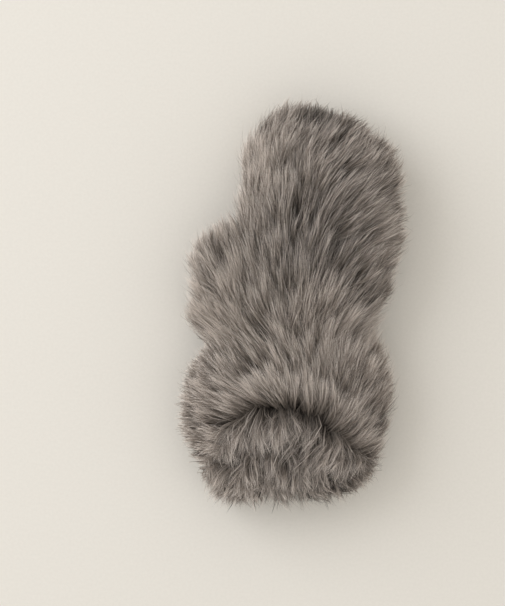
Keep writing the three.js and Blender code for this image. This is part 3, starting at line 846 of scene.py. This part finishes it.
def lay_floor():
    bpy.ops.object.select_all(action="DESELECT")
    bpy.ops.mesh.primitive_plane_add(size=FLOOR_SIZE, location=(0, 0, 0))
    floor = bpy.context.object
    floor.name = "floor"
    floor.data.materials.append(floor_finish())


def light_studio():
    """Soft daylight from a wide window at the upper left, and a pale room all round."""
    world = bpy.data.worlds.new("room")
    bpy.context.scene.world = world
    world.use_nodes = True
    background = world.node_tree.nodes["Background"]
    background.inputs["Color"].default_value = ROOM_COLOUR
    background.inputs["Strength"].default_value = ROOM_STRENGTH
    window = bpy.data.lights.new("window", "AREA")
    window.shape = "RECTANGLE"
    window.size = WINDOW_SIZE
    window.size_y = WINDOW_SIZE
    window.energy = WINDOW_ENERGY
    window.color = WINDOW_COLOUR
    holder = bpy.data.objects.new("window", window)
    bpy.context.scene.collection.objects.link(holder)
    holder.location = WINDOW_PLACE
    aim = -holder.location.normalized()
    holder.rotation_euler = aim.to_track_quat("-Z", "Y").to_euler()
    bpy.context.scene.view_settings.view_transform = "Standard"


# The making of the pelts


def loft(name, form, depth, levels):
    """A closed soft body, drawn out ring by ring at a depth below the tips of the hair."""
    bpy.ops.object.select_all(action="DESELECT")
    last = form.y[-1]

    def ring(y):
        middle, centre, half_width, half_height = form.section(min(y, last), depth)
        share = max(y - last, 0) / (form.tip_y - depth - last)
        closing = (1 - share ** TIP_ROUND) ** (1 / TIP_ROUND)
        place = (middle + form.lean * share ** LEAN_POWER, y, centre)
        return place, (half_width * closing, half_height * closing)

    place, size = ring(levels[0])
    bpy.ops.mesh.primitive_circle_add(
        vertices=RING_CORNERS, radius=1, fill_type="NGON", location=place, rotation=(math.pi / 2, 0, 0)
    )
    piece = bpy.context.object
    piece.name = name
    bpy.ops.object.transform_apply(location=True, rotation=True, scale=True)
    bpy.ops.object.mode_set(mode="EDIT")
    bpy.ops.mesh.select_all(action="SELECT")
    bpy.ops.transform.resize(value=(size[0], 1, size[1]), center_override=place)
    for y in levels[1:]:
        next_place, next_size = ring(y)
        step = tuple(b - a for a, b in zip(place, next_place))
        bpy.ops.mesh.extrude_region_move(TRANSFORM_OT_translate={"value": step})
        bpy.ops.transform.resize(
            value=(next_size[0] / size[0], 1, next_size[1] / size[1]), center_override=next_place
        )
        place, size = next_place, next_size
    bpy.ops.mesh.select_all(action="SELECT")
    bpy.ops.mesh.normals_make_consistent(inside=False)
    bpy.ops.object.mode_set(mode="OBJECT")
    return piece


def cut_away(piece, place, direction):
    """Takes off what lies beyond a plane, on the side that direction points to."""
    bpy.ops.object.select_all(action="DESELECT")
    bpy.context.view_layer.objects.active = piece
    piece.select_set(True)
    bpy.ops.object.mode_set(mode="EDIT")
    bpy.ops.mesh.select_all(action="SELECT")
    bpy.ops.mesh.bisect(plane_co=place, plane_no=direction, use_fill=True, clear_outer=True)
    bpy.ops.object.mode_set(mode="OBJECT")


def combine(piece, tool, operation):
    """Joins, cuts or crosses a piece with another, and keeps the other."""
    bpy.ops.object.select_all(action="DESELECT")
    bpy.context.view_layer.objects.active = piece
    piece.select_set(True)
    change = piece.modifiers.new(operation.lower(), "BOOLEAN")
    change.operation = operation
    change.solver = "EXACT"
    change.object = tool
    bpy.ops.object.modifier_apply(modifier=change.name)


def copy_of(piece, name):
    twin = bpy.data.objects.new(name, piece.data.copy())
    bpy.context.scene.collection.objects.link(twin)
    return twin


def discard(*pieces):
    for piece in pieces:
        bpy.data.objects.remove(piece)


def block(name, chords, low, high):
    """A tall block, cut off along chords: it keeps what lies left of the way from start to end."""
    bpy.ops.object.select_all(action="DESELECT")
    middle = (low + high) / 2
    bpy.ops.mesh.primitive_cube_add(size=1, location=middle.tolist(), scale=(high - low).tolist())
    piece = bpy.context.object
    piece.name = name
    bpy.ops.object.transform_apply(location=True, rotation=True, scale=True)
    for start, end, lean in chords:
        direction = np.array([end[1] - start[1], start[0] - end[0], 0.0])
        direction = direction / np.linalg.norm(direction)
        direction[2] = lean
        cut_away(piece, start, direction)
    return piece


def rings_to(form, depth, first_y):
    """Levels for the rings of a form: its own rows, then closer and closer to its tip."""
    tip = form.tip_y - depth
    last = form.y[-1]
    rows = [y for y in form.y if y > first_y + ROW_GAP]
    shares = [math.sin(math.pi / 2 * step / TIP_RINGS) for step in range(1, TIP_RINGS)]
    return [first_y] + rows + [last + (tip - last) * share for share in shares + [LAST_RING]]


def seam_points(rows, height):
    return [(row["across"] * WIDTH, HEM_Y + row["along"] * LENGTH, height) for row in rows]


def make_pelts(underfur, suede):
    """Hollow shells of skin and underfur: back, palm, thumb and cuff."""
    body = loft("body", BODY, PELT_DEPTH, rings_to(BODY, PELT_DEPTH, HEM_Y + PELT_HEM))
    cut_away(body, (0, 0, PELT_FLOOR), (0, 0, -1))
    hollow = loft("hollow", BODY, INSIDE_DEPTH, rings_to(BODY, INSIDE_DEPTH, HEM_Y - HOLLOW_OVER))
    cut_away(hollow, (0, 0, HOLLOW_FLOOR), (0, 0, -1))
    thumb_levels = rings_to(THUMB, THUMB_INSIDE_DEPTH, THUMB.y[0] + THUMB_HOLLOW_START)
    thumb_hollow = loft("thumb_hollow", THUMB, THUMB_INSIDE_DEPTH, thumb_levels)
    cut_away(thumb_hollow, (0, 0, HOLLOW_FLOOR), (0, 0, -1))
    combine(body, hollow, "DIFFERENCE")
    thumb_pelt = loft("thumb_pelt", THUMB, PELT_DEPTH, rings_to(THUMB, PELT_DEPTH, THUMB.y[0]))
    cut_away(thumb_pelt, (0, 0, PELT_FLOOR), (0, 0, -1))
    combine(thumb_pelt, thumb_hollow, "DIFFERENCE")

    arch = seam_points(CUFF_SEAM[1:-1], 0)
    cuff_block = block(
        "cuff_block",
        [(end, start, 0.0) for start, end in zip(arch, arch[1:])],
        np.array([-WIDTH, HEM_Y - CUFF_BLOCK_OVER, BLOCK_LOW]),
        np.array([WIDTH, 0.0, BLOCK_HIGH]),
    )
    edge = seam_points([THUMB_SEAM[0], THUMB_SEAM[4], THUMB_SEAM[-1]], THUMB_TOP)
    thumb_block = block(
        "thumb_block",
        [(edge[0], edge[1], THUMB_SEAM_LEAN), (edge[1], edge[2], THUMB_SEAM_LEAN)],
        np.array([-WIDTH, edge[0][1], BLOCK_LOW]),
        np.array([0.0, edge[2][1] + THUMB_BLOCK_OVER, BLOCK_HIGH]),
    )
    cuff_pelt = copy_of(body, "cuff_pelt")
    combine(cuff_pelt, cuff_block, "INTERSECT")
    combine(thumb_pelt, thumb_block, "INTERSECT")
    combine(body, cuff_block, "DIFFERENCE")
    combine(body, thumb_block, "DIFFERENCE")
    back_pelt = copy_of(body, "back_pelt")
    cut_away(back_pelt, (0, 0, SIDE_SEAM_Z), (0, 0, -1))
    palm_pelt = copy_of(body, "palm_pelt")
    cut_away(palm_pelt, (0, 0, SIDE_SEAM_Z), (0, 0, 1))
    discard(body, hollow, thumb_hollow, cuff_block, thumb_block)
    stands_for = [
        (back_pelt, BODY, "hand_back", "back_fur"),
        (palm_pelt, BODY, "hand_palm", "palm_fur"),
        (thumb_pelt, THUMB, "thumb", "thumb_fur"),
        (cuff_pelt, BODY, "cuff", "cuff_fur"),
    ]
    for pelt, form, node, slot_name in stands_for:
        pelt.data.materials.clear()
        pelt.data.materials.append(underfur)
        pelt.data.materials.append(suede)
        for face in pelt.data.polygons:
            centre = np.array(face.center)
            inner = form.spread(centre, (PELT_DEPTH + INSIDE_DEPTH) / 2)[0] < INNER_SHARE
            face.material_index = 1 if inner and centre[2] > PELT_FLOOR + INNER_LIFT else 0
            face.use_smooth = False
        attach(pelt, "root")
        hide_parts(node)


def seam_tufts():
    """Places for more tufts close along both sides of the parting between hand and cuff."""
    first, last = SEAM_TUFT_SPAN
    x = np.repeat(np.arange(first * WIDTH, last * WIDTH, SEAM_TUFT_STEP), 2)
    x = x + rng.normal(0, SEAM_TUFT_SCATTER, x.shape)
    side = np.tile([-1, 1], len(x) // 2)
    y = seam_y(x) + side * rng.uniform(*SEAM_TUFT_GAPS, x.shape)
    middle, centre, half_width, half_height = BODY.section(y, 0.0)
    z = centre + half_height * (1 - np.abs((x - middle) / half_width) ** ROUND) ** (1 / ROUND)
    return np.stack([x, y, z], axis=-1)


def grow_fur(fur):
    """All the hair, in seven pieces."""
    body = tuft_places(BODY, HEM_Y + BODY_START, BODY_TRIES, BELOW_SHARE)
    thumb = tuft_places(THUMB, THUMB.y[0] + THUMB_START, THUMB_TRIES, BELOW_SHARE)
    body = np.concatenate([body, seam_tufts()])
    body = body[~THUMB.holds(body, HIDDEN_DEPTH)]
    thumb = thumb[~BODY.holds(thumb, HIDDEN_DEPTH)]
    in_cuff = body[:, 1] < seam_y(body[:, 0])
    low = body[:, 2] < SIDE_SEAM_Z
    fingers = body[:, 1] > HEM_Y + FINGERS_FROM * LENGTH
    left = body[:, 0] < 0
    palm = ~in_cuff & low
    back = ~in_cuff & ~low

    def grow(name, form, neighbour, coat, places, share):
        grown = strands(form, neighbour, coat, places, int(share * STRANDS_A_PIECE))
        hair_piece(name, fur, grown)

    grow("finger_hair", BODY, THUMB, HAND_COAT, body[back & fingers], 1.0)
    grow("back_hair_left", BODY, THUMB, HAND_COAT, body[back & ~fingers & left], 1.0)
    grow("back_hair_right", BODY, THUMB, HAND_COAT, body[back & ~fingers & ~left], 1.0)
    grow("palm_hair", BODY, THUMB, HAND_COAT, body[palm], 0.7)
    grow("thumb_hair", THUMB, BODY, HAND_COAT, thumb, 0.6)
    grow("cuff_hair", BODY, THUMB, CUFF_COAT, body[in_cuff], 0.8)
    under = tuft_places(BODY, HEM_Y + UNDER_START, UNDER_TRIES, 1.0)
    under = under[(under[:, 2] < 0) & ~THUMB.holds(under, HIDDEN_DEPTH)]
    grow("under_hair", BODY, THUMB, HAND_COAT, under, UNDER_SHARE)


look_down()
lay_floor()
light_studio()
make_pelts(underfur_finish(), suede_finish())
grow_fur(hair_finish(
    "grey_taupe_fur", root=(28, 24, 20), middle=(106, 97, 89), tip=(192, 182, 173)
))
